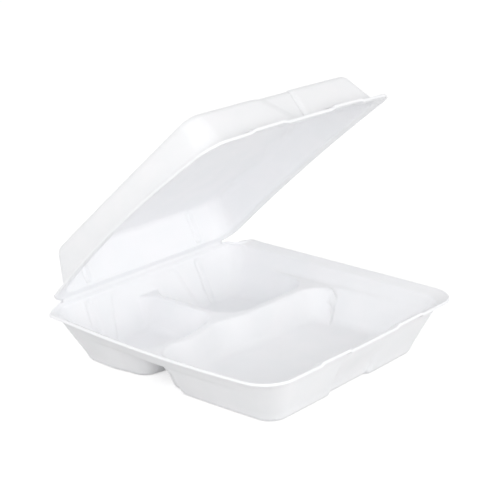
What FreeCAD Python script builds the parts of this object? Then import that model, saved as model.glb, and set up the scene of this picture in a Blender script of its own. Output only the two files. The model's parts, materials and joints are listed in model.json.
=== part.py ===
import FreeCAD, Part
import math
import os

# Hinged foam food box with three compartments, thermoformed from one sheet of expanded foam.
# The tray and the lid are two shells of the same sheet, joined by a pressed fold along the rear.
# X runs along the fold, -Y is the front, +Z is up, and the origin is under the middle of the tray.
# The lid is drawn shut over the tray and then swung open about the fold to its resting angle.

V = FreeCAD.Vector

# Sheet
sheet = 2.3                  # thickness of the foam sheet

# Tray rim, seen from above
rimWidth = 232.0             # between the ends of the side edges
rimSideBow = 4.6             # how far each side edge bulges out
rimFront = -113.0            # front edge at its ends
rimFrontBow = 2.0
rimCorner = 26.0             # round front corners
rimTop = 43.5                # height of the rim's outer edge
earBack = 98.6               # rear end of each side flange
notchWidth = 203.0           # between the inner ends of the ears
notchRake = 1.0              # the ears' rear edges run this far forwards to the notches
foldY = 113.0                # the fold line
foldLength = 188.0
foldSlit = 0.2               # tray and lid end this far apart when the lid lies flat open

# Tray walls, measured on their inner faces
creaseDrop = 2.8             # the flange dips this far towards the walls
creaseWidth = 208.0          # between the ends of the side walls' tops
creaseFront = -101.0
creaseBack = 105.5
floorWidth = 174.5
floorFront = -89.5
floorBack = 92.0
wallBow = 3.2                # side walls bulge out
frontCorner = 14.0
backCorner = 20.0
footRadius = 8.0             # walls into floor

# Dividers, measured on their inner faces
dividerTop = 27.5
ridgeRadius = 3.0            # rounds the dividers' tops
largeBack = 8.5              # foot of the cross divider's front face, at its ends
largeBackBow = 5.0           # the cross divider curves towards the fold
crossRidge = 6.6             # thickness of the cross divider at its top
crossSlope = 0.28            # run for each millimetre of rise, front face
cupSlope = 0.36              # the same for the other divider faces
jogSlope = 0.52              # and for the side walls beside the cross divider
sideDividerX = -6.0          # the short divider stands a little left of the middle
sideRidge = 7.0
cupCorner = 12.0
jogInset = 3.5               # the side walls step in beside the cross divider
jogFront = -10.0
jogBack = 62.0
jogBlend = 5.0

# Front wall recess, in tray and lid
recessWidth = 50.0
recessDepth = 3.0
recessDraft = 0.10

# Flutes in both rear walls, and the shallow panel between the tray's pair
fluteX = 62.0
fluteWidth = 8.0
fluteDepth = 1.8
panelFoot = 98.0
panelDraft = -0.35
panelDepth = 0.9

# Lock tabs on the front flange
tabX = 46.0
tabWidth = 33.0
tabLift = 1.3
tabDepth = 7.0               # how far the tab reaches in from the rim's edge
tabPlay = 0.5                # the lid's tab is wider by this on each side

# Lid, measured on its inner face and drawn shut
partingGap = 0.3             # air between the two rims when shut
lidRimWidth = 210.0
lidSideBow = 5.4
lidFront = -113.3
lidFrontBow = 3.0
lidRimCorner = 13.0
lidBackWidth = 203.0         # where the rear corners are cut off towards the fold
lidCreaseRise = 1.0
lidCreaseWidth = 193.0
lidCreaseFront = -103.5
lidCreaseBack = 103.5
lidHeight = 32.9             # rim to the outside of the top
lidTopWidth = 179.0
lidTopFront = -95.0
lidTopBack = 91.5
lidWallBow = 3.0
lidCorner = 14.0
lidEdgeRadius = 9.0          # walls into top, inside
openAngle = 42.3             # resting angle of the lid, from shut

# How the forms are drawn
footBands = 3                # bands that turn a wall into a floor
ridgeBands = 2               # bands that turn a wall into a divider's top
past = 30.0                  # reach of the cutting solids past what they cut
lead = 0.3                   # share of its width that a flange is drawn too wide, then trimmed
overlap = 2.0                # walls run this far past the crease, into the space above the flange


def side(p, q, bow):
    """Edge from p to q, straight or bulging by bow to the right of its direction."""
    if bow == 0:
        return Part.makeLine(p, q)
    along = q - p
    out = V(along.y, -along.x, 0).normalize() * bow
    return Part.Arc(p, (p + q) * 0.5 + out, q).toShape()


def outline(corners, bows, radii, z):
    """Level wire of straight or bowed sides with rounded corners. Corners run anticlockwise."""
    points = [V(x, y, z) for x, y in corners]
    count = len(points)
    sides = [side(points[i], points[(i + 1) % count], bows[i]) for i in range(count)]
    level = Part.Plane(V(0, 0, z), V(0, 0, 1))
    rounds = []
    for i in range(count):
        tool = Part.ChFi2d.FilletAPI(sides[i - 1], sides[i], level)
        tool.perform(radii[i])
        arc, sides[i - 1], sides[i] = tool.result(points[i])
        rounds.append(arc)
    return Part.Wire(Part.sortEdges(sides + rounds)[0])


def box_corners(width, front, back):
    half = width / 2
    return [(-half, front), (half, front), (half, back), (-half, back)]


def shift_sides(corners, shifts):
    """Corners after each side has moved outwards by its own shift. Sides follow X or Y."""
    count = len(corners)
    moved = []
    for i, (x, y) in enumerate(corners):
        for near in (i - 1, i):
            p, q = corners[near], corners[(near + 1) % count]
            if abs(q[0] - p[0]) > abs(q[1] - p[1]):
                y += shifts[near] * math.copysign(1, p[0] - q[0])
            else:
                x += shifts[near] * math.copysign(1, q[1] - p[1])
        moved.append((x, y))
    return moved


def turn_run(height, slope, radius):
    """Run of a wall from its foot line at a height, where the foot is rounded by radius."""
    lean = math.atan2(1, slope)
    if height >= radius * (1 - math.cos(lean)):
        return slope * height
    return math.sqrt(radius ** 2 - (radius - height) ** 2) - radius * math.tan(lean / 2)


def basin(corners, bows, radii, slopes, rounding, floor, rise, grow, brim=0.0, flange=()):
    """Tapered basin with a rounded foot, drawn by the foot lines of its inner faces.

    Slopes give each side's run for a millimetre of rise, and a negative rise opens downwards.
    Grow moves every face outwards by that distance. A brim, given as a height above the foot,
    is rounded off as the top of a divider is. A flange is more sections to go on from the wall.
    """
    leans = [math.atan2(1, s) for s in slopes]
    foot = rounding + grow
    crown = ridgeRadius - grow
    heights = [foot * (1 - math.cos(max(leans) * k / footBands)) for k in range(footBands + 1)]
    if brim:
        turns = [max(leans) * k / ridgeBands for k in range(ridgeBands, -1, -1)]
        heights += [brim - crown * (1 - math.cos(turn)) for turn in turns]
    heights.append(abs(rise))
    sections = []
    for height in heights:
        shifts = []
        for slope, lean in zip(slopes, leans):
            run = turn_run(height, slope, foot)
            if brim and height > brim / 2:
                run = slope * brim - turn_run(max(brim - height, 0), slope, crown)
            shifts.append(grow * math.tan(lean / 2) + run)
        z = floor + math.copysign(1, rise) * (height - grow)
        sections.append(outline(shift_sides(corners, shifts), bows, [r + grow for r in radii], z))
    return Part.makeLoft(sections + list(flange), True, True)


def slab(x1, x2, y1, y2, z1, z2):
    return Part.makeBox(x2 - x1, y2 - y1, z2 - z1, V(x1, y1, z1))


creaseZ = rimTop - creaseDrop
wallRise = creaseZ - sheet
dividerRise = dividerTop - sheet


def tray_well(grow, frontInset=0.0, backOutset=0.0, over=overlap, flange=()):
    """The tray's hollow without dividers, from the floor to just past the crease."""
    corners = box_corners(floorWidth, floorFront + frontInset, floorBack + backOutset)
    sideSlope = (creaseWidth - floorWidth) / 2 / wallRise
    slopes = [(floorFront - creaseFront) / wallRise, sideSlope, (creaseBack - floorBack) / wallRise, sideSlope]
    return basin(corners, [rimFrontBow, wallBow, 0, wallBow], [frontCorner, frontCorner, backCorner, backCorner],
                 slopes, footRadius, sheet, wallRise + over, grow, flange=flange)


def divider_net(grow):
    """The two dividers and the side steps beside them, as one solid to cut from the well."""
    inner = floorWidth / 2 + wallBow - jogInset
    wide = floorWidth / 2 + past
    halfFoot = sideRidge / 2 + cupSlope * dividerRise
    smallFront = largeBack + crossSlope * dividerRise + crossRidge + cupSlope * dividerRise
    front, back = floorFront - past, floorBack + past

    def cup(x1, x2, y1, y2, bows, slopes):
        corners = [(x1, y1), (x2, y1), (x2, y2), (x1, y2)]
        return basin(corners, bows, [cupCorner] * 4, slopes, footRadius, sheet, dividerRise + past, grow,
                     dividerRise)

    cups = [cup(-inner, inner, front, largeBack, [0, 0, largeBackBow, 0], [crossSlope, jogSlope, crossSlope, jogSlope])]
    for x1, x2, right, left in ((-inner, sideDividerX - halfFoot, cupSlope, jogSlope),
                                (sideDividerX + halfFoot, inner, jogSlope, cupSlope)):
        share = (x1 + x2) / (2 * inner)
        y = smallFront + largeBackBow * (1 - share * share)
        cups.append(cup(x1, x2, y, back, [0, 0, 0, 0], [cupSlope, right, cupSlope, left]))
    net = slab(-wide, wide, jogFront - jogBlend, back, sheet - grow, dividerTop - grow)
    for solid in cups:
        net = net.cut(solid)
    return net.common(jog_keep(grow, wide, inner))


def jog_keep(grow, wide, inner):
    """Plan of the net: the whole width between the jogs, then only the short divider's strip."""
    low, high = jogFront + grow, jogBack - grow
    strip = sideRidge / 2 + cupSlope * dividerRise + cupCorner
    x1, x2 = sideDividerX - strip, sideDividerX + strip
    back = floorBack + past
    points = [(-wide, low), (-inner, low + jogBlend), (inner, low + jogBlend), (wide, low), (wide, high),
              (inner, high), (x2, high), (x2, back), (x1, back), (x1, high), (-inner, high), (-wide, high)]
    wire = Part.makePolygon([V(x, y, sheet - grow) for x, y in points + points[:1]])
    return Part.Face(wire).extrude(V(0, 0, dividerRise))


def strip_prism(centre, width, draft, z1, z2, y1, y2):
    """Upright strip across a wall, wider at the top by draft on each side."""
    half = width / 2
    more = half + draft * (z2 - z1)
    points = [V(centre - half, y1, z1), V(centre + half, y1, z1),
              V(centre + more, y1, z2), V(centre - more, y1, z2)]
    return Part.Face(Part.makePolygon(points + points[:1])).extrude(V(0, y2 - y1, 0))


def dish(creaseCorners, rimCorners, bows, radii, z, climb):
    """Sections of a flange that slopes by climb between its crease and its rim, and of the space over it."""
    reach = 1 + lead
    corners = [(p[0] + reach * (q[0] - p[0]), p[1] + reach * (q[1] - p[1]))
               for p, q in zip(creaseCorners, rimCorners)]
    rim = outline(corners, bows, radii, z + reach * climb)
    far = rim.copy()
    far.translate(V(0, 0, math.copysign(past, climb)))
    return rim, far


def tray_dish(grow):
    return dish(box_corners(creaseWidth, creaseFront, creaseBack), box_corners(rimWidth, rimFront, foldY),
                [rimFrontBow, wallBow, 0, wallBow], [frontCorner, frontCorner, backCorner, backCorner],
                creaseZ - grow, creaseDrop)


def tray_space(grow):
    """Everything on the food's side of one face of the sheet: grow 0 is the inner face."""
    low, high = sheet - grow, creaseZ - grow
    solid = tray_well(grow, over=0, flange=tray_dish(grow))
    recess = strip_prism(0, recessWidth - 2 * grow, recessDraft, low, high, rimFront - past, 0)
    solid = solid.cut(recess.cut(tray_well(grow, frontInset=recessDepth)))
    fluted = tray_well(grow, backOutset=fluteDepth)
    for x in (-fluteX, fluteX):
        band = strip_prism(x, fluteWidth + 2 * grow, 0, low, high + overlap, 0, foldY + past)
        solid = solid.fuse(band.common(fluted))
    panel = strip_prism(0, panelFoot + 2 * grow, panelDraft, low, high + overlap, 0, foldY + past)
    solid = solid.fuse(panel.common(tray_well(grow, backOutset=panelDepth)))
    return solid.cut(divider_net(grow))


def rim_plan():
    """The tray's plan: bowed sides, round front corners, ears and the notches beside the fold."""
    fold, notch = foldLength / 2, notchWidth / 2
    edge, notchY = foldY - foldSlit / 2, earBack - notchRake
    wide, far = rimWidth / 2 + past, foldY + 2 * past
    front = outline(box_corners(rimWidth, rimFront, foldY), [rimFrontBow, rimSideBow, 0, rimSideBow],
                    [rimCorner, rimCorner, flatCorner, flatCorner], 0)
    plate = Part.Face(front).extrude(V(0, 0, rimTop + past))
    behind = [(-fold, edge), (-notch, notchY), (-wide, earBack), (-wide, far),
              (wide, far), (wide, earBack), (notch, notchY), (fold, edge)]
    wire = Part.makePolygon([V(x, y, 0) for x, y in behind + behind[:1]])
    return plate.cut(Part.Face(wire).extrude(V(0, 0, rimTop + past)))


flatCorner = 1.0             # rear corners of the plans, which the ears and the cut corners remove


def lift_tabs(shell, front, z, play):
    """Steps two stretches of the front flange up, so that tray and lid key into each other."""
    for x in (-tabX, tabX):
        half = tabWidth / 2 + play
        zone = slab(x - half, x + half, front - past, front + tabDepth, z - past, z + past)
        tab = shell.common(zone)
        tab.translate(V(0, 0, tabLift))
        shell = shell.cut(zone).fuse(tab)
    return shell


def make_tray():
    shell = tray_space(sheet).cut(tray_space(0)).common(rim_plan())
    return lift_tabs(shell, rimFront, rimTop, 0).removeSplitter()


lidBase = rimTop + partingGap
lidCrease = lidBase + lidCreaseRise
lidInnerTop = lidBase + lidHeight - sheet
foldAxis = V(0, foldY, rimTop + partingGap / 2)


def lid_well(grow, frontInset=0.0, backOutset=0.0, over=overlap, flange=()):
    """The lid's hollow, drawn shut: from the top down to just past its crease."""
    rise = lidInnerTop - lidCrease
    corners = box_corners(lidTopWidth, lidTopFront + frontInset, lidTopBack + backOutset)
    sideSlope = (lidCreaseWidth - lidTopWidth) / 2 / rise
    slopes = [(lidTopFront - lidCreaseFront) / rise, sideSlope, (lidCreaseBack - lidTopBack) / rise, sideSlope]
    return basin(corners, [lidFrontBow, lidWallBow, 0, lidWallBow], [lidCorner] * 4, slopes, lidEdgeRadius,
                 lidInnerTop, -rise - over, grow, flange=flange)


def lid_dish(grow):
    return dish(box_corners(lidCreaseWidth, lidCreaseFront, lidCreaseBack), box_corners(lidRimWidth, lidFront, foldY),
                [lidFrontBow, lidWallBow, 0, lidWallBow], [lidCorner] * 4, lidCrease + grow, -lidCreaseRise)


def lid_space(grow):
    """Everything on the food's side of one face of the lid's sheet."""
    low, high = lidCrease + grow, lidInnerTop + grow
    solid = lid_well(grow, over=0, flange=lid_dish(grow))
    recess = strip_prism(0, recessWidth - 2 * grow, 0, low, high, lidFront - past, 0)
    solid = solid.cut(recess.cut(lid_well(grow, frontInset=recessDepth)))
    fluted = lid_well(grow, backOutset=fluteDepth)
    for x in (-fluteX, fluteX):
        band = strip_prism(x, fluteWidth + 2 * grow, 0, low - overlap, high, 0, foldY + past)
        solid = solid.fuse(band.common(fluted))
    return solid


def lid_plan():
    """The lid's plan: bowed sides, round front corners and cut corners beside the fold."""
    fold, back = foldLength / 2, lidBackWidth / 2
    edge, low, tall = foldY - foldSlit / 2, lidBase - past, lidHeight + 2 * past
    wide, far = back + past, foldY + 2 * past
    turn = edge - (wide - fold)
    front = outline(box_corners(lidRimWidth, lidFront, foldY), [lidFrontBow, lidSideBow, 0, lidSideBow],
                    [lidRimCorner, lidRimCorner, flatCorner, flatCorner], low)
    plate = Part.Face(front).extrude(V(0, 0, tall))
    behind = [(-fold, edge), (-wide, turn), (-wide, far), (wide, far), (wide, turn), (fold, edge)]
    wire = Part.makePolygon([V(x, y, low) for x, y in behind + behind[:1]])
    return plate.cut(Part.Face(wire).extrude(V(0, 0, tall)))


def make_lid():
    shell = lid_space(sheet).cut(lid_space(0)).common(lid_plan())
    lid = lift_tabs(shell, lidFront, lidBase, tabPlay).removeSplitter()
    lid.rotate(foldAxis, V(1, 0, 0), -openAngle)
    return lid


os.makedirs("parts", exist_ok=True)
for name, shape in (("tray", make_tray()), ("lid", make_lid())):
    print(name, shape.ShapeType, len(shape.Solids), "valid", shape.isValid(),
          "volume", round(shape.Volume / 1000, 1), "cm3")
    shape.Solids[0].exportStep("parts/" + name + ".step")
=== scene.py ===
import json
import math

import bpy
import numpy as np
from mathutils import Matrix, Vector


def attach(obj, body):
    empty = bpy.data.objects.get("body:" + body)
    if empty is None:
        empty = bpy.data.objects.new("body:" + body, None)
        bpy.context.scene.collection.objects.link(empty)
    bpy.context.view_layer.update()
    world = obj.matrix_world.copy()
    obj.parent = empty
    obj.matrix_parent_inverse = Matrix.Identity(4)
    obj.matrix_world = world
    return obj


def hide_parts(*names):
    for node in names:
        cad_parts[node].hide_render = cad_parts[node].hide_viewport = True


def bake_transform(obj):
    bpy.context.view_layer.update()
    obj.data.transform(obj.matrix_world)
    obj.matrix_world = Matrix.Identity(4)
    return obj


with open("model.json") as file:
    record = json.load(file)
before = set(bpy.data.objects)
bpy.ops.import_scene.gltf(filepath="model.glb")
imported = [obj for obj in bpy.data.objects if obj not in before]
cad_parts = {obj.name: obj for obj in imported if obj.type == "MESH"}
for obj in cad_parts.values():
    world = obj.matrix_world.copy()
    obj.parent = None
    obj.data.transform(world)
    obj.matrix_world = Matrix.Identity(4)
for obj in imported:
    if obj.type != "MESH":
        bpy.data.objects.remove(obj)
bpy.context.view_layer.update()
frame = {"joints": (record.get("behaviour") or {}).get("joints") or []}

mm = 0.001
fold = frame["joints"][0]
foldAt = np.array(fold["pos_m"]) / mm        # a point on the pressed fold, in mm
openAngle = math.radians(-fold["range_deg"][0])        # the lid rests this far from shut
print("frame loaded, fold at", foldAt)


# Camera, matched to the photograph's rims, fold and foot lines

cameraSet = {
    "lens": 101.04,
    "azimuth": -50.28,
    "elevation": 18.68,
    "distance": 1.06031,
    "target": (-0.00102, 0.00124, 0.08525),
}


def makeCamera():
    data = bpy.data.cameras.new("photoCamera")
    data.lens = cameraSet["lens"]
    camera = bpy.data.objects.new("photoCamera", data)
    bpy.context.scene.collection.objects.link(camera)
    around = math.radians(cameraSet["azimuth"])
    up = math.radians(cameraSet["elevation"])
    back = Vector((math.sin(around) * math.cos(up), -math.cos(around) * math.cos(up), math.sin(up)))
    camera.location = Vector(cameraSet["target"]) + back * cameraSet["distance"]
    camera.rotation_euler = back.to_track_quat("Z", "Y").to_euler()
    bpy.context.scene.camera = camera


makeCamera()
print("camera placed")


# Materials

def fromHex(code):
    # sRGB hex to the linear values that Blender wants
    channels = [int(code[i:i + 2], 16) / 255 for i in (1, 3, 5)]
    return [c / 12.92 if c <= 0.04045 else ((c + 0.055) / 1.055) ** 2.4 for c in channels] + [1.0]


def addNode(tree, kind, links=(), **settings):
    # links are (input name, output socket); settings are node properties or input values
    node = tree.nodes.new(kind)
    for key, value in settings.items():
        if hasattr(node, key):
            setattr(node, key, value)
        else:
            node.inputs[key].default_value = value
    for name, output in links:
        tree.links.new(output, node.inputs[name])
    return node


# Polystyrene foam sheet, thermoformed while hot. Its cells are closed by a thin skin from the mould:
# a bright, faintly bluish white with a low satin sheen, fine cell grain, soft dimples where cells
# were pressed, and light that spreads a millimetre or two inside, so that shadows stay soft.
foamSet = {
    "paleColour": "#FAFAFC",
    "deepColour": "#F7F8FA",
    "roughness": 0.50,
    "specular": 0.35,
    "spread": 1.6,           # mm that light travels inside
    "spreadWeight": 0.25,
    "cell": 0.9,             # mm, drawn coarser than real cells of 0.3 mm so that it shows
    "cellHeight": 0.020,
    "dimple": 4.5,           # mm, as is the wave
    "dimpleNoise": (2.0, 0.5),       # detail and roughness
    "dimpleHeight": 0.05,
    "wave": 24.0,
    "waveNoise": (1.0, 0.4),
    "waveHeight": 0.30,
    "cloudSpan": (0.35, 0.65),       # of the wave noise, from the deep colour to the pale one
}


def makeFoam():
    material = bpy.data.materials.new("thermoformedPolystyreneFoam")
    material.use_nodes = True
    tree = material.node_tree
    tree.nodes.clear()
    where = addNode(tree, "ShaderNodeTexCoord").outputs["Object"]

    def grain(size, detail, roughness):
        return addNode(tree, "ShaderNodeTexNoise", [("Vector", where)], Scale=1 / (size * mm),
                       Detail=detail, Roughness=roughness).outputs["Fac"]

    cells = addNode(tree, "ShaderNodeTexVoronoi", [("Vector", where)], feature="SMOOTH_F1",
                    Scale=1 / (foamSet["cell"] * mm)).outputs["Distance"]
    dimples = grain(foamSet["dimple"], *foamSet["dimpleNoise"])
    waves = grain(foamSet["wave"], *foamSet["waveNoise"])
    cloud = addNode(tree, "ShaderNodeMapRange", [("Value", waves)])
    cloud.inputs["From Min"].default_value, cloud.inputs["From Max"].default_value = foamSet["cloudSpan"]
    colour = addNode(tree, "ShaderNodeMix", [("Factor", cloud.outputs["Result"])], data_type="RGBA")
    for socket in colour.inputs:
        if socket.type == "RGBA":
            socket.default_value = fromHex(foamSet["deepColour" if socket.name == "A" else "paleColour"])
    tinted = next(output for output in colour.outputs if output.type == "RGBA")

    bump = None
    for height, source in (("waveHeight", waves), ("dimpleHeight", dimples), ("cellHeight", cells)):
        links = [("Height", source)] + ([("Normal", bump)] if bump else [])
        bump = addNode(tree, "ShaderNodeBump", links, Strength=1.0,
                       Distance=foamSet[height] * mm).outputs["Normal"]

    shader = addNode(tree, "ShaderNodeBsdfPrincipled", [("Base Color", tinted), ("Normal", bump)])
    shader.inputs["Roughness"].default_value = foamSet["roughness"]
    shader.inputs["Specular IOR Level"].default_value = foamSet["specular"]
    shader.inputs["Subsurface Weight"].default_value = foamSet["spreadWeight"]
    shader.inputs["Subsurface Radius"].default_value = (1.0, 1.0, 1.0)
    shader.inputs["Subsurface Scale"].default_value = foamSet["spread"] * mm
    addNode(tree, "ShaderNodeOutputMaterial", [("Surface", shader.outputs["BSDF"])])
    return material


foam = makeFoam()
print("foam material made")


# Shells: both halves of the box are rings that follow the rim inwards, closed by a grid in the middle

meshSet = {
    "cornerSteps": 7,        # points in half a corner
    "coarse": 3.4,           # mm between points where nothing happens
    "fine": 0.9,             # mm between points at edges and dividers
    "edgeSteps": 5,          # points round the cut edge of the sheet
    "edgeBulge": 0.8,        # mm that the cut edge is rounded by
    "edgePower": 0.7,        # below 1 for an edge that is fuller than a half round
    "spotBlend": 3.0,        # mm over which the spacing changes
    "rimShares": (0.0, 0.06, 0.15),          # rings near the cut edge, as shares of the flange
    "flangeFrom": 0.3,
    "rollShares": (0.6, 0.3, 0.0),   # rings where the flange and the wall turn into each other
    "wallShares": (0.35, 0.7, 1.0),
    "thinEnd": 0.5,          # mm next to the fold that are as thin as the web
    "thinSides": (-0.5, 1.5),        # and the stretch past its ends over which the sheet thickens
    "play": 0.01,
    "roundLoss": 0.6,        # mm of corner radius lost for each mm that an outline shrinks
    "leastRound": 4.0,
}


def smooth(low, high, value):
    # rises from 0 at low to 1 at high
    t = np.clip((value - low) / (high - low), 0, 1)
    return t * t * (3 - 2 * t)


def band(value, centre, half, blend):
    # 1 inside centre +- half, 0 outside, with soft sides
    away = np.abs(value - centre)
    return 1 - smooth(half - blend / 2, half + blend / 2, away)


def spots(low, high, marks):
    # places from low to high, closer together near each mark (centre, half width)
    x = np.linspace(low, high, 4000)
    density = np.full(len(x), 1 / meshSet["coarse"])
    extra = 1 / meshSet["fine"] - 1 / meshSet["coarse"]
    near = np.zeros(len(x))
    for centre, half in marks:
        near = np.maximum(near, band(x, centre, half, meshSet["spotBlend"]))
    total = np.concatenate([[0], np.cumsum((density + extra * near)[:-1] * np.diff(x))])
    count = int(round(total[-1])) + 1
    return np.interp(np.linspace(0, total[-1], count), total, x)


def mixed(a, b, share):
    # outline between two others
    return {key: a[key] + (b[key] - a[key]) * share for key in a}


def inset(outline, by):
    smaller = dict(outline)
    smaller["half"] -= by
    smaller["front"] += by
    smaller["rear"] -= by
    for key in ("frontRound", "rearRound"):
        smaller[key] = max(smaller[key] - meshSet["roundLoss"] * by, meshSet["leastRound"])
    return smaller


def ringPlan(o, frontSpots, sideSpots):
    # plan of a rounded outline, anticlockwise from the middle of its front left corner
    steps = meshSet["cornerSteps"]

    def corner(x, y, radius, first):
        angles = math.radians(first) + np.linspace(0, math.pi / 2, 2 * steps + 1)
        return np.c_[x + radius * np.cos(angles), y + radius * np.sin(angles)]

    r1, r2 = o["frontRound"], o["rearRound"]
    frontLeft = corner(-o["half"] + r1, o["front"] + r1, r1, 180)
    frontRight = corner(o["half"] - r1, o["front"] + r1, r1, 270)
    rearRight = corner(o["half"] - r2, o["rear"] - r2, r2, 0)
    rearLeft = corner(-o["half"] + r2, o["rear"] - r2, r2, 90)
    across = frontSpots[1:-1]
    along = (o["front"] + r1) + (o["rear"] - r2 - o["front"] - r1) * sideSpots[1:-1]
    front = np.c_[across * (o["half"] - r1), np.full(len(across), o["front"])]
    rear = np.c_[across * (o["half"] - r2), np.full(len(across), o["rear"])][::-1]
    right = np.c_[np.full(len(along), o["half"]), along]
    left = np.c_[np.full(len(along), -o["half"]), along][::-1]
    plan = np.concatenate([frontLeft[steps:], front, frontRight, right, rearRight, rear, rearLeft, left,
                           frontLeft[:steps]])
    middle = (o["front"] + o["rear"]) / 2
    deep = (o["rear"] - o["front"]) / 2
    u, v = plan[:, 0] / o["half"], (plan[:, 1] - middle) / deep
    plan[:, 0] += o["sideBow"] * u * (1 - v * v)
    plan[:, 1] += np.where(v < 0, o["frontBow"], o["rearBow"]) * v * (1 - u * u)
    return plan


def innerGrid(ring, columns, rows):
    # fills the last ring with a grid that keeps its spacing
    bottom = ring[:columns + 1]
    right = ring[columns:columns + rows + 1]
    top = ring[columns + rows:2 * columns + rows + 1][::-1]
    left = np.concatenate([ring[2 * columns + rows:], ring[:1]])[::-1]
    u = ((bottom[:, 0] - bottom[0, 0]) / (bottom[-1, 0] - bottom[0, 0]))[:, None, None]
    v = ((left[:, 1] - left[0, 1]) / (left[-1, 1] - left[0, 1]))[None, :, None]
    b, t, l, r = bottom[:, None, :], top[:, None, :], left[None, :, :], right[None, :, :]
    corners = ((1 - u) * (1 - v) * bottom[0] + u * (1 - v) * bottom[-1]
               + (1 - u) * v * top[0] + u * v * top[-1])
    return (1 - v) * b + v * t + (1 - u) * l + u * r - corners


def shellMesh(rings, grid, thickness, up):
    # thick shell from the rings and the grid of its food side, in mm; thickness is a function of the points
    count, columns, rows = len(rings[0]), grid.shape[0] - 1, grid.shape[1] - 1
    points = np.concatenate(rings)
    gridIndex = np.zeros((columns + 1, rows + 1), int)
    last = (len(rings) - 1) * count
    inside = np.arange((columns - 1) * (rows - 1)).reshape(columns - 1, rows - 1)
    gridIndex[1:-1, 1:-1] = len(points) + inside
    gridIndex[:, 0] = last + np.arange(columns + 1)
    gridIndex[-1, :] = last + columns + np.arange(rows + 1)
    gridIndex[:, -1] = (last + columns + rows + np.arange(columns + 1))[::-1]
    gridIndex[0, 1:] = (last + 2 * columns + rows + np.arange(rows))[::-1]
    points = np.concatenate([points, grid[1:-1, 1:-1].reshape(-1, 3)])

    i = np.arange(count)
    j = (i + 1) % count
    faces = [np.c_[k * count + i, k * count + j, (k + 1) * count + j, (k + 1) * count + i]
             for k in range(len(rings) - 1)]
    g = gridIndex
    faces.append(np.stack([g[:-1, :-1], g[1:, :-1], g[1:, 1:], g[:-1, 1:]], axis=-1).reshape(-1, 4))
    faces = np.concatenate(faces)
    if not up:
        faces = faces[:, ::-1]

    normals = np.zeros_like(points)
    across = np.cross(points[faces[:, 2]] - points[faces[:, 0]], points[faces[:, 3]] - points[faces[:, 1]])
    for k in range(4):
        np.add.at(normals, faces[:, k], across)
    normals /= np.linalg.norm(normals, axis=1, keepdims=True)
    outer = points - normals * thickness(points)[:, None]

    total = len(points)
    rim, under = points[:count], outer[:count]
    along = np.roll(rim, -1, axis=0) - np.roll(rim, 1, axis=0)
    out = np.cross(along, normals[:count])
    out *= (1 if up else -1) / np.linalg.norm(out, axis=1, keepdims=True)
    centre, half = (rim + under) / 2, (rim - under) / 2
    edge = []
    for k in range(1, meshSet["edgeSteps"] + 1):
        turn = math.pi * k / (meshSet["edgeSteps"] + 1)
        lift = math.copysign(abs(math.cos(turn)) ** meshSet["edgePower"], math.cos(turn))
        bulge = meshSet["edgeBulge"] * math.sin(turn) ** meshSet["edgePower"]
        edge.append(centre + half * lift + out * bulge)
    loops = [i] + [2 * total + k * count + i for k in range(len(edge))] + [total + i]
    strips = []
    for a, b in zip(loops[:-1], loops[1:]):
        strip = np.c_[a, b, np.roll(b, -1), np.roll(a, -1)]
        strips.append(strip if up else strip[:, ::-1])
    everything = np.concatenate([points, outer] + edge)
    allFaces = np.concatenate([faces, faces[:, ::-1] + total] + strips)
    return everything, allFaces


def meshPiece(name, points, faces, material, body):
    mesh = bpy.data.meshes.new(name)
    mesh.from_pydata((points * mm).tolist(), [], faces.tolist())
    mesh.polygons.foreach_set("use_smooth", [True] * len(mesh.polygons))
    mesh.materials.append(material)
    mesh.update()
    piece = bpy.data.objects.new(name, mesh)
    bpy.context.scene.collection.objects.link(piece)
    if body:
        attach(piece, body)
    print(name, len(points), "points", len(faces), "faces")
    return piece


def sheetThickness(points, shape):
    # full all over, but pressed thin towards the fold
    x, y, z = points.T
    rear = shape["rim"]["rear"]
    nearFold = smooth(rear - shape["webWidth"], rear - meshSet["thinEnd"], y)
    nearFold *= 1 - smooth(*meshSet["thinSides"], np.abs(x) - shape["foldHalf"])
    return shape["thickness"] + (shape["webThickness"] - shape["thickness"]) * nearFold


def flangeRings(soft, count):
    # rings across a flange, close together at its edge and where it rolls over
    return np.concatenate([meshSet["rimShares"], np.linspace(meshSet["flangeFrom"], 1 - soft, count),
                           1 - soft * np.array(meshSet["rollShares"])])


def stepMarks(p):
    # where the front and rear walls have steps, for spots
    marks = [(foot + p["fluteShift"], p["fluteHalf"] + p["fluteMargin"]) for foot, lean in p["flutes"]]
    for side in (-1, 1):
        marks.append((side * p["recessMark"][0], p["recessMark"][1]))
        marks += [(side * (p["tabX"] + end * p["tabHalf"]), p["tabMark"]) for end in (-1, 1)]
    return marks


def turnRun(height, slope, radius):
    # run of a wall from its foot line at a height, where the foot is rounded
    lean = np.arctan2(1, slope)
    reach = np.sqrt(np.maximum(radius ** 2 - (radius - height) ** 2, 0)) - radius * np.tan(lean / 2)
    return np.where(height >= radius * (1 - np.cos(lean)), slope * height, reach)


# Tray, in mm: the outlines are those of its food side

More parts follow.
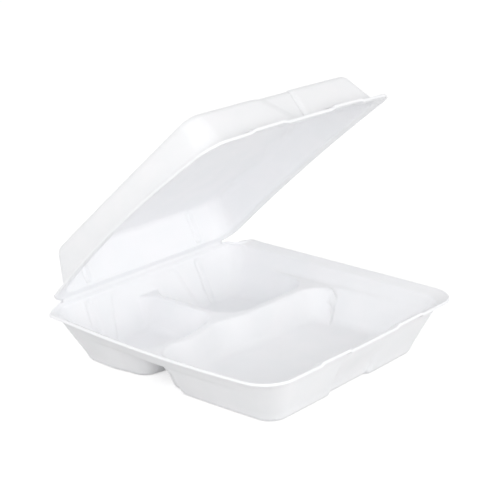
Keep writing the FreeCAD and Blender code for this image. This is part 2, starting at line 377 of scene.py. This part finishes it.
traySet = {
    "thickness": 2.3,
    "rim": {"half": 116.0, "front": -113.0, "rear": 112.6, "sideBow": 4.6, "frontBow": 2.0, "rearBow": 0.0,
            "frontRound": 22.0, "rearRound": 26.0},
    "crease": {"half": 107.2, "front": -104.0, "rear": 108.2, "sideBow": 4.4, "frontBow": 2.0, "rearBow": 0.2,
               "frontRound": 18.0, "rearRound": 15.0},
    "foot": {"half": 85.8, "front": -90.0, "rear": 92.0, "sideBow": 3.0, "frontBow": 0.6, "rearBow": 0.6,
             "frontRound": 11.0, "rearRound": 9.0},
    "rimTop": 43.5,
    "creaseTop": 39.2,
    "creaseRearLift": 1.7,   # the flange is narrower and flatter at the fold
    "creaseSoft": 0.13,      # share of the flange and of the wall that turns into the other
    "floorTop": 2.3,
    "footRadius": 8.0,
    "footFill": 1.1,         # the sheet is thicker inside its foot, so that the outside is sharper
    "sideDip": 1.6,          # the side flanges sag in the middle
    "dipCentre": -10.0,
    "dipHalf": 105.0,
    "earFlare": 1.7,         # the sides spread this much towards the ears
    "earSide": (117.1, 98.6),        # outer corner of the ears
    "notch": {-1: (107.5, 105.0, 0.0), 1: (103.4, 101.2, 2.5)},      # place and drop on either side
    "cornerMarks": (0, 26, 45, 64, 90),      # degrees round the corner: side, ear, notch, fold, fold
    "foldDrop": 0.35,        # the flange lies lower at the fold, where the lid's edge turns over it
    "foldHalf": 94.0,
    "webThickness": 0.9,     # the sheet is pressed this thin at the fold
    "webWidth": 3.0,
    "sideSpan": (75.0, 100.0),       # where the sides begin, and where they are all there
    "rearSpan": (88.0, 106.0),
    "settleFrom": 0.35,      # share of the walls' height below which nothing sags or rises
    "footRamp": (1.4, 5.0),          # the fill is full at the first height and gone at the second
    "steps": {"flange": 5, "wall": 18, "foot": 9},
}

dividerSet = {
    "top": 27.5,
    "crown": 1.6,            # radius along the dividers' tops
    "footRadius": 8.0,
    "largeBack": 5.6,        # foot of the cross divider's front face
    "leftBack": 2.9,         # its left end stands this much further back
    "leftSpan": (55.0, 80.0),
    "largeBackBow": 5.8,     # it steps back where the short divider meets it
    "bowCentre": -20.0,
    "bowHalf": 34.0,
    "crossRidge": 6.6,
    "crossSlope": 0.28,
    "cupSlope": 0.36,
    "jogSlope": 0.52,
    "sideX": -6.0,           # the short divider stands a little left of the middle
    "sideRidge": 7.0,
    "cupCorner": 12.0,
    "rearCorner": 5.0,       # corner between the short divider and the rear wall
    "inner": 83.6,           # half the width between the side walls beside the cross divider
    "clear": 1.0,            # elsewhere the net stands this far outside the walls
    "ridgeMargin": 5.0,      # mm past the dividers' feet where the mesh is fine
    "crossMark": (13.0, 19.0),
    "jogMark": 4.0,
    "rearMark": 6.0,
    "jogFront": -12.0,
    "jogLean": 0.50,         # its edge leans back as it rises
    "jogBlend": 1.8,
    "jogRear": (44.0, 70.0),         # in the small cups it fades out over this stretch
    "cupInset": 4.8,         # the small cups are narrower than the tray by this at their front
    "cupRear": 94.6,         # the small cups' corners by the short divider are rounded up to here
    "rearSlope": 0.42,
    "wallBlend": 0.8,        # softens where a divider meets the wall
    "sideBlend": 3.0,        # and this much more at the side walls
    "sideBlendFrom": (84.0, 92.0),
    "sideBlendTo": (60.0, 80.0),
}

pressedSet = {
    "recessHalf": 25.0, "recessDepth": 3.0, "recessDraft": 0.10, "recessBlend": 4.0,
    "recessSoft": 4.0,       # blend of its left side
    "recessFade": (6.0, 26.0),
    "flutes": ((-69.7, -0.01), (60.3, -0.10)),       # place at the foot and lean for each mm of height
    "fluteHalf": 3.0, "fluteDepth": 2.3, "fluteBlend": 1.7,
    "recessMark": (27.0, 3.0),       # where the mesh is fine beside the recess and the flutes
    "fluteShift": -2.0,
    "fluteMargin": 5.0,
    "tabMark": 2.0,
    "panelMark": (-6.0, 9.0),
    "panelX": -4.2, "panelLean": -0.11, "panelHalf": 48.8, "panelDraft": -0.35,
    "panelDepth": 1.3, "panelBlend": 1.4,
    "topBlend": 5.0,         # flutes fade out this far below the crease
    "endSpan": (30.0, 60.0),         # what is at the front or the rear is all there beyond this
    "tabX": 46.0, "tabHalf": 16.5, "tabLift": 1.3, "tabDepth": 7.0, "tabBlend": 2.2,
}


def wallProfile(away, slope, rise, foot, crown):
    # height of a wall at a distance beyond its foot line, rounded at its foot and its top
    lean = np.arctan2(1, slope)

    def rounded(d, radius):
        back = radius * np.tan(lean / 2)
        arc = radius - np.sqrt(np.maximum(radius ** 2 - (d + back) ** 2, 0))
        return np.where(d < -back, 0, np.where(d < radius * np.sin(lean) - back, arc, d / slope))

    low, high = rounded(away, foot), rise - rounded(slope * rise - away, crown)
    return np.clip(np.where(away < slope * rise / 2, low, high), 0, rise)


def netHeight(x, y):
    # height of the dividers and of the side steps beside them, above the floor
    d = dividerSet
    rise = d["top"] - traySet["floorTop"]
    jogFront = d["jogFront"] + d["jogLean"] * (np.abs(x) - d["inner"])
    jog = smooth(jogFront - d["jogBlend"], jogFront, y)
    natural = traySet["foot"]["half"] + traySet["foot"]["sideBow"] + d["clear"]
    inner = natural + (d["inner"] - natural) * jog
    wide = natural - d["cupInset"] * (1 - smooth(*d["jogRear"], y))
    across = np.clip((x - d["bowCentre"]) / d["bowHalf"], -1, 1)
    arch = d["leftBack"] * smooth(*d["leftSpan"], -x)
    arch += d["largeBackBow"] * np.cos(across * math.pi / 2) ** 2
    smallFront = d["largeBack"] + (d["crossSlope"] + d["cupSlope"]) * rise + d["crossRidge"]
    halfFoot = d["sideRidge"] / 2 + d["cupSlope"] * rise

    def cup(dx, slopeX, dy, slopeY, r=d["cupCorner"]):
        a, b = np.maximum(dx + r, 0), np.maximum(dy + r, 0)
        away = np.minimum(np.maximum(dx + r, dy + r), 0) + np.hypot(a, b) - r
        slope = (a * a * slopeX + b * b * slopeY + 1e-6) / (a * a + b * b + 1e-6)
        slope = np.where(a + b > 0, slope, slopeY)
        return wallProfile(away, slope, rise, d["footRadius"], d["crown"])

    large = cup(np.abs(x) - inner, d["jogSlope"], y - d["largeBack"] - arch, d["crossSlope"])
    small = []
    for side in (-1, 1):
        wall = side * x - wide
        divider = side * (d["sideX"] - x) + halfFoot
        slopeX = np.where(wall > divider, d["jogSlope"], d["cupSlope"])
        front, rear = smallFront + arch - y, y - d["cupRear"]
        slopeY = np.where(rear > front, d["rearSlope"], d["cupSlope"])
        r = np.where(rear > front, d["rearCorner"], d["cupCorner"])
        small.append(cup(np.maximum(wall, divider), slopeX, np.maximum(front, rear), slopeY, r))
    return np.minimum(large, np.minimum(small[0], small[1]))


def softMax(a, b, k):
    # the larger of two heights, with the edge between them rounded over k
    h = np.clip(0.5 + 0.5 * (a - b) / k, 0, 1)
    return b + (a - b) * h + k * h * (1 - h)


def pressWall(plan, top, height, pressed):
    # front recess, rear flutes and rear panel, as moves of the wall in plan
    p = pressed
    x, y = plan[:, 0], plan[:, 1]
    atFront, atRear = smooth(*p["endSpan"], -y), smooth(*p["endSpan"], y)
    half = p["recessHalf"] + p["recessDraft"] * height
    inward = p["recessDepth"] * (1 - smooth(half - p["recessBlend"] / 2, half + p["recessBlend"] / 2, x))
    inward *= smooth(-half - p["recessSoft"] / 2, -half + p["recessSoft"] / 2, x)
    inward *= smooth(*p["recessFade"], top - height)
    outward = sum(p["fluteDepth"] * band(x, foot + lean * height, p["fluteHalf"], p["fluteBlend"])
                  for foot, lean in p["flutes"])
    middle, half = p["panelX"] + p["panelLean"] * height, p["panelHalf"] + p["panelDraft"] * height
    outward = outward + p["panelDepth"] * band(x, middle, half, p["panelBlend"])
    outward *= smooth(0, p["topBlend"], top - height)
    moved = plan.copy()
    moved[:, 1] += inward * atFront + outward * atRear
    return moved


def tabSteps(plan, front, widen, p):
    # the lock tabs, low steps in the front flange
    x, y = plan[:, 0], plan[:, 1]
    wide = sum(band(x, side * p["tabX"], p["tabHalf"] + widen, p["tabBlend"]) for side in (-1, 1))
    return p["tabLift"] * wide * (1 - smooth(p["tabDepth"] - 1, p["tabDepth"] + 1, y - front))


def trayRim(base):
    # the rear of the rim: ears beside the walls, notches, and the straight fold between them
    t = traySet
    moved = base.copy()
    side = np.sign(base[:, 0])
    x, y = np.abs(base[:, 0]), base[:, 1]
    r = t["rim"]["rearRound"]
    cx, cy = t["rim"]["half"] - r, t["rim"]["rear"] - r
    angle = np.degrees(np.arctan2(y - cy, x - cx))
    inCorner = (x > cx - meshSet["play"]) & (y > cy - meshSet["play"])
    rear = base[:, 1].max()
    drop = t["foldDrop"] * smooth(rear - t["webWidth"], rear, y)
    for way, notch in t["notch"].items():
        here = inCorner & (side == way)
        spotsX = (t["rim"]["half"] + t["earFlare"], t["earSide"][0], notch[0], t["foldHalf"], cx)
        spotsY = (cy, t["earSide"][1], notch[1], rear, rear)
        drops = (0, 0, notch[2], t["foldDrop"], t["foldDrop"])
        drop = np.where(here, np.interp(angle, t["cornerMarks"], drops), drop)
        moved[:, 0] = np.where(here, side * np.interp(angle, t["cornerMarks"], spotsX), moved[:, 0])
        moved[:, 1] = np.where(here, np.interp(angle, t["cornerMarks"], spotsY), moved[:, 1])
    return moved, drop


def makeTray():
    t, d, p = traySet, dividerSet, pressedSet
    halfFoot = d["sideRidge"] / 2 + d["cupSlope"] * (d["top"] - t["floorTop"])
    marks = stepMarks(p) + [(d["sideX"], halfFoot + d["ridgeMargin"])]
    for side in (-1, 1):
        marks.append((p["panelX"] + side * (p["panelHalf"] + p["panelMark"][0]), p["panelMark"][1]))
    reach = t["foot"]["half"] - t["foot"]["frontRound"]
    frontSpots = spots(-reach, reach, marks) / reach
    low, high = t["foot"]["front"] + t["foot"]["frontRound"], t["foot"]["rear"] - t["foot"]["rearRound"]
    crossY = d["largeBack"] + d["largeBackBow"] / 2 + d["crossMark"][0]
    sideMarks = [(crossY, d["crossMark"][1]), (d["jogFront"] - d["jogBlend"] / 2, d["jogMark"]),
                 (high, d["rearMark"])]
    sideSpots = (spots(low, high, sideMarks) - low) / (high - low)
    columns = len(frontSpots) - 1 + 2 * meshSet["cornerSteps"]
    rows = len(sideSpots) - 1 + 2 * meshSet["cornerSteps"]

    rim, crease, foot = inset(t["rim"], meshSet["edgeBulge"]), t["crease"], t["foot"]
    rimPlan, drop = trayRim(ringPlan(rim, frontSpots, sideSpots))
    creasePlan = ringPlan(crease, frontSpots, sideSpots)
    rise = t["creaseTop"] - t["floorTop"]
    soft = t["creaseSoft"]
    rings = []

    def settle(plan, strength, flange=1.0):
        # the sides sag in the middle, and the crease is higher at the rear
        x, y = plan[:, 0], plan[:, 1]
        v = np.clip((y - t["dipCentre"]) / t["dipHalf"], -1, 1)
        dip = t["sideDip"] * (1 - v * v) * smooth(*t["sideSpan"], np.abs(x))
        lift = t["creaseRearLift"] * smooth(*t["rearSpan"], y) * flange
        return (lift - dip) * smooth(t["settleFrom"], 1, strength)

    def addRing(plan, z):
        x, y = plan[:, 0], plan[:, 1]
        net = netHeight(x, y) + t["floorTop"]
        beside = smooth(*d["sideBlendFrom"], np.abs(x)) * (1 - smooth(*d["sideBlendTo"], y))
        soften = d["wallBlend"] + d["sideBlend"] * beside
        rings.append(np.c_[plan, softMax(z, net, soften)])

    for share in flangeRings(soft, t["steps"]["flange"]):
        plan = rimPlan + (creasePlan - rimPlan) * share
        z = t["rimTop"] + (t["creaseTop"] - t["rimTop"]) * share
        turn = max(share - 1 + soft, 0) / soft           # the flange starts to roll over here
        z -= (turn / 2) ** 2 * soft * (rise + t["creaseTop"] - t["rimTop"])
        z = z + settle(plan, 1.0, share) - drop * (1 - share)
        z = z + tabSteps(plan, t["rim"]["front"], 0, p)
        rings.append(np.c_[plan, z])
    slope = (crease["half"] - foot["half"]) / rise
    rolled = rise * (1 - soft * np.array(meshSet["wallShares"]))
    turns = np.linspace(math.atan2(1, slope), 0, t["steps"]["foot"])
    footHeights = t["footRadius"] * (1 - np.cos(turns))
    straight = np.linspace(rolled[-1], footHeights[0], t["steps"]["wall"])[1:]
    wallHeights = np.concatenate([rolled, straight, footHeights[1:]])
    for height in wallHeights:
        share = (rise - height) / rise
        eased = float(slope * height - turnRun(height, slope, t["footRadius"]))
        plan = ringPlan(inset(mixed(crease, foot, share), eased), frontSpots, sideSpots)
        plan = pressWall(plan, rise, height, p)
        turn = max(1 - share / soft, 0)
        z = height + t["floorTop"] - (turn / 2) ** 2 * soft * (rise + t["creaseTop"] - t["rimTop"])
        addRing(plan, z + settle(plan, height / rise))
    grid = innerGrid(rings[-1][:, :2], columns, rows)
    heights = t["floorTop"] + netHeight(grid[..., 0], grid[..., 1])
    grid = np.concatenate([grid, heights[..., None]], axis=-1)

    def thickness(points):
        # the sheet's own, and more inside the foot
        height = points[:, 2] - t["floorTop"]
        fill = t["footFill"] * smooth(0, t["footRamp"][0], height) * (1 - smooth(*t["footRamp"], height))
        return sheetThickness(points, t) + fill

    points, faces = shellMesh(rings, grid, thickness, up=True)
    piece = meshPiece("trayShell", points, faces, foam, "tray")
    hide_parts("tray")


makeTray()


# Lid, in mm: drawn shut over the tray, then swung open about the fold

lidSet = {
    "thickness": 2.3,
    "base": 43.8,
    "rim": {"half": 105.0, "front": -111.8, "rear": 112.6, "sideBow": 5.6, "frontBow": 3.0, "rearBow": 0.0,
            "frontRound": 14.0, "rearRound": 13.0},
    "crease": {"half": 95.8, "front": -103.0, "rear": 104.5, "sideBow": 4.4, "frontBow": 3.0, "rearBow": 0.3,
               "frontRound": 13.0, "rearRound": 13.0},
    "top": {"half": 90.5, "front": -95.0, "rear": 92.0, "sideBow": 1.0, "frontBow": 0.6, "rearBow": 0.6,
            "frontRound": 11.0, "rearRound": 10.0},
    "creaseRise": 1.8,
    "foldRise": 0.25,        # the flange lies higher at the fold
    "foldSpan": (106.0, 111.0),
    "creaseSoft": 0.12,
    "height": 32.9,
    "edgeRadius": 4.5,
    "sideArch": 4.2,         # the side flanges arch up in the middle
    "archReach": 16.0,       # and the walls follow them up to this height
    "archHalf": 108.0,
    "archSpan": (75.0, 95.0),
    "wallSlope": 0.22,
    "tabPlay": 0.5,          # the lid's tabs are wider than the tray's by this on each side
    "foldHalf": 94.0,
    "cutStart": (101.5, 105.4),      # where the rear corners are cut off towards the fold
    "cornerMarks": (0, 30, 62, 90),          # degrees round the corner: side, cut, fold, fold
    "cornerFlare": 1.2,
    "webThickness": 0.9,
    "webWidth": 3.0,
    "steps": {"flange": 4, "wall": 12, "edge": 11},
}

lidPressed = dict(pressedSet, recessDepth=2.2, recessDraft=-0.48, recessHalf=19.0, recessBlend=1.3,
                  recessSoft=13.0, recessFade=(-1.0, 1.0), recessMark=(12.0, 10.0),
                  flutes=((-69.0, 0.12), (57.4, 0.17)), fluteShift=2.0, panelDepth=0.0, tabHalf=17.0)


def lidRim(base):
    # the rear of the rim: corners cut off towards the straight fold
    s = lidSet
    moved = base.copy()
    side = np.sign(base[:, 0])
    x, y = np.abs(base[:, 0]), base[:, 1]
    r = s["rim"]["rearRound"]
    cx, cy = s["rim"]["half"] - r, s["rim"]["rear"] - r
    inCorner = (x > cx - meshSet["play"]) & (y > cy - meshSet["play"])
    angle = np.degrees(np.arctan2(y - cy, np.maximum(x - cx, 0)))
    rear = base[:, 1].max()
    spotsX = (s["rim"]["half"] + s["cornerFlare"], s["cutStart"][0], s["foldHalf"], cx)
    spotsY = (cy, s["cutStart"][1], rear, rear)
    moved[:, 0] = np.where(inCorner, side * np.interp(angle, s["cornerMarks"], spotsX), moved[:, 0])
    moved[:, 1] = np.where(inCorner, np.interp(angle, s["cornerMarks"], spotsY), moved[:, 1])
    return moved


def swingOpen(points):
    # from shut to the angle at rest
    turned = points.copy()
    y, z = points[:, 1] - foldAt[1], points[:, 2] - foldAt[2]
    turned[:, 1] = foldAt[1] + y * math.cos(openAngle) + z * math.sin(openAngle)
    turned[:, 2] = foldAt[2] - y * math.sin(openAngle) + z * math.cos(openAngle)
    return turned


def makeLid():
    s, p = lidSet, lidPressed
    reach = s["top"]["half"] - s["top"]["frontRound"]
    frontSpots = spots(-reach, reach, stepMarks(p)) / reach
    low, high = s["top"]["front"] + s["top"]["frontRound"], s["top"]["rear"] - s["top"]["rearRound"]
    sideSpots = (spots(low, high, []) - low) / (high - low)
    columns = len(frontSpots) - 1 + 2 * meshSet["cornerSteps"]
    rows = len(sideSpots) - 1 + 2 * meshSet["cornerSteps"]

    rimPlan = lidRim(ringPlan(inset(s["rim"], meshSet["edgeBulge"]), frontSpots, sideSpots))
    creasePlan = ringPlan(s["crease"], frontSpots, sideSpots)
    rise = s["height"] - s["thickness"] - s["creaseRise"]
    soft = s["creaseSoft"]
    rings = []

    def arch(plan, height):
        v = np.clip(plan[:, 1] / s["archHalf"], -1, 1)
        onSide = smooth(*s["archSpan"], np.abs(plan[:, 0]))
        return s["sideArch"] * (1 - v * v) * onSide * (1 - smooth(0, s["archReach"], height))

    for share in flangeRings(soft, s["steps"]["flange"]):
        plan = rimPlan + (creasePlan - rimPlan) * share
        turn = max(share - 1 + soft, 0) / soft
        z = s["base"] + s["creaseRise"] * share + (turn / 2) ** 2 * soft * rise
        z = z + s["foldRise"] * smooth(*s["foldSpan"], rimPlan[:, 1]) * (1 - share)
        z = z + arch(plan, 0.0) + tabSteps(plan, s["rim"]["front"], s["tabPlay"], p)
        rings.append(np.c_[plan, z])
    slope = s["wallSlope"]
    rolled = rise * (1 - soft * np.array(meshSet["wallShares"]))
    turns = np.linspace(math.atan2(1, slope), 0, s["steps"]["edge"])
    edgeDepths = s["edgeRadius"] * (1 - np.cos(turns))
    straight = np.linspace(rolled[-1], edgeDepths[0], s["steps"]["wall"])[1:]
    depths = np.concatenate([rolled, straight, edgeDepths[1:]])
    for depth in depths:
        share = (rise - depth) / rise
        eased = float(slope * depth - turnRun(depth, slope, s["edgeRadius"]))
        plan = ringPlan(inset(mixed(s["crease"], s["top"], share), eased), frontSpots, sideSpots)
        plan = pressWall(plan, rise, depth, p)
        turn = max(1 - share / soft, 0)
        z = s["base"] + s["height"] - s["thickness"] - depth + (turn / 2) ** 2 * soft * rise
        rings.append(np.c_[plan, z + arch(plan, rise - depth)])
    grid = innerGrid(rings[-1][:, :2], columns, rows)
    heights = np.full(grid.shape[:2], s["base"] + s["height"] - s["thickness"])
    grid = np.concatenate([grid, heights[..., None]], axis=-1)

    points, faces = shellMesh(rings, grid, lambda points: sheetThickness(points, s), up=False)
    piece = meshPiece("lidShell", swingOpen(points), faces, foam, "lid")
    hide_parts("lid")


makeLid()


# Fold: the sheet pressed to a thin web that bends between the tray and the lid

webSet = {
    "half": 93.6,
    "reach": 3.2,            # mm to either side of the fold
    "sunk": 0.12,            # its edges lie this deep in the sheet
    "middle": (-0.3, 0.1),   # fills the corner of the fold softly
    "thickness": 0.9,
    "across": 13,            # points from edge to edge, and along the fold
    "along": 48,
    "grip": (1.5, 0.8),      # mm from the fold, back and down, of a point on the lid's side of the web
}


def makeWeb():
    # a curve from inside the tray's flange, past the fold, to inside the lid's flange
    w = webSet
    t, s = traySet, lidSet
    drop = (t["rimTop"] - t["creaseTop"] - t["creaseRearLift"]) / (t["rim"]["rear"] - t["crease"]["rear"])
    lift = s["creaseRise"] / (s["rim"]["rear"] - s["crease"]["rear"])
    trayEnd = np.array([-w["reach"], t["rimTop"] - foldAt[2] - drop * w["reach"] - w["sunk"]])
    shut = np.array([[0, foldAt[1] - w["reach"], s["base"] + lift * w["reach"] + w["sunk"]]])
    lidEnd = (swingOpen(shut)[0] - foldAt)[1:]
    share = np.linspace(0, 1, w["across"])[:, None]
    middle = np.array(w["middle"])
    inner = (1 - share) ** 2 * trayEnd + 2 * share * (1 - share) * middle + share ** 2 * lidEnd
    along = np.gradient(inner, axis=0)
    outward = np.c_[along[:, 1], -along[:, 0]]
    outward /= np.linalg.norm(outward, axis=1, keepdims=True)
    outer = inner + outward * w["thickness"]
    loop = np.concatenate([inner, outer[::-1]])
    xs = np.linspace(-w["half"], w["half"], w["along"])
    points = np.array([[x, foldAt[1] + y, foldAt[2] + z] for x in xs for y, z in loop])
    n = len(loop)
    faces = [[k * n + i, k * n + (i + 1) % n, (k + 1) * n + (i + 1) % n, (k + 1) * n + i]
             for k in range(len(xs) - 1) for i in range(n)]
    half = len(inner)
    for k in (0, len(xs) - 1):
        for i in range(half - 1):
            faces.append([k * n + i, k * n + i + 1, k * n + n - 2 - i, k * n + n - 1 - i])
    return meshPiece("foldWeb", points, np.array(faces), foam, None)


web = makeWeb()


# Studio: pale floor, white all round, soft lamps

studioSet = {
    "floorColour": "#CDCDCD",
    "floorSize": 6.0,
    "floorGlow": 0.62,       # seen by the camera and in reflections only
    "worldStrength": 0.66,
    "lamps": {
        "frontLamp": {"place": (0.45, -1.10, 0.32), "size": 0.8, "power": 3.6},
        "keyLamp": {"place": (-1.15, 0.20, 0.60), "size": 0.8, "power": 3.4},
        "fillLamp": {"place": (-0.75, -0.85, 0.30), "size": 0.9, "power": 4.6},
    },
}


def seenDirectly(tree):
    # 1 for rays from the camera and for reflections of it
    path = addNode(tree, "ShaderNodeLightPath")
    first = addNode(tree, "ShaderNodeMath", operation="MAXIMUM")
    tree.links.new(path.outputs["Is Camera Ray"], first.inputs[0])
    tree.links.new(path.outputs["Is Glossy Ray"], first.inputs[1])
    second = addNode(tree, "ShaderNodeMath", operation="MAXIMUM")
    tree.links.new(first.outputs[0], second.inputs[0])
    tree.links.new(path.outputs["Is Transmission Ray"], second.inputs[1])
    return second.outputs[0]


def makeStudio():
    s = studioSet
    world = bpy.data.worlds.new("softWhite")
    world.use_nodes = True
    tree = world.node_tree
    tree.nodes.clear()
    lighting = addNode(tree, "ShaderNodeBackground", Color=(1, 1, 1, 1), Strength=s["worldStrength"])
    backdrop = addNode(tree, "ShaderNodeBackground", Color=(1, 1, 1, 1), Strength=1.0)
    mix = addNode(tree, "ShaderNodeMixShader")
    tree.links.new(seenDirectly(tree), mix.inputs[0])
    tree.links.new(lighting.outputs[0], mix.inputs[1])
    tree.links.new(backdrop.outputs[0], mix.inputs[2])
    addNode(tree, "ShaderNodeOutputWorld", [("Surface", mix.outputs[0])])
    bpy.context.scene.world = world

    material = bpy.data.materials.new("paleFloorPaper")
    material.use_nodes = True
    tree = material.node_tree
    tree.nodes.clear()
    paper = addNode(tree, "ShaderNodeBsdfDiffuse", Color=fromHex(s["floorColour"]))
    glow = addNode(tree, "ShaderNodeEmission", Color=(1, 1, 1, 1))
    amount = addNode(tree, "ShaderNodeMath", operation="MULTIPLY")
    tree.links.new(seenDirectly(tree), amount.inputs[0])
    amount.inputs[1].default_value = s["floorGlow"]
    tree.links.new(amount.outputs[0], glow.inputs["Strength"])
    both = addNode(tree, "ShaderNodeAddShader")
    tree.links.new(paper.outputs[0], both.inputs[0])
    tree.links.new(glow.outputs[0], both.inputs[1])
    addNode(tree, "ShaderNodeOutputMaterial", [("Surface", both.outputs[0])])
    bpy.ops.mesh.primitive_plane_add(size=s["floorSize"], location=(0, 0, 0))
    floor = bpy.context.object
    floor.name = "studioFloor"
    floor.data.materials.append(material)

    for name, lamp in s["lamps"].items():
        data = bpy.data.lights.new(name, "AREA")
        data.size, data.energy = lamp["size"], lamp["power"]
        light = bpy.data.objects.new(name, data)
        light.location = lamp["place"]
        aim = Vector(lamp["place"]) - Vector(cameraSet["target"])
        light.rotation_euler = aim.to_track_quat("Z", "Y").to_euler()
        bpy.context.scene.collection.objects.link(light)
    bpy.context.scene.view_settings.view_transform = "Standard"


makeStudio()
print("studio made")

gripBack, gripDrop = webSet["grip"]
lidSide = Vector(swingOpen(np.array([[0, foldAt[1] - gripBack, foldAt[2] + gripDrop]]))[0]) * mm
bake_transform(web)
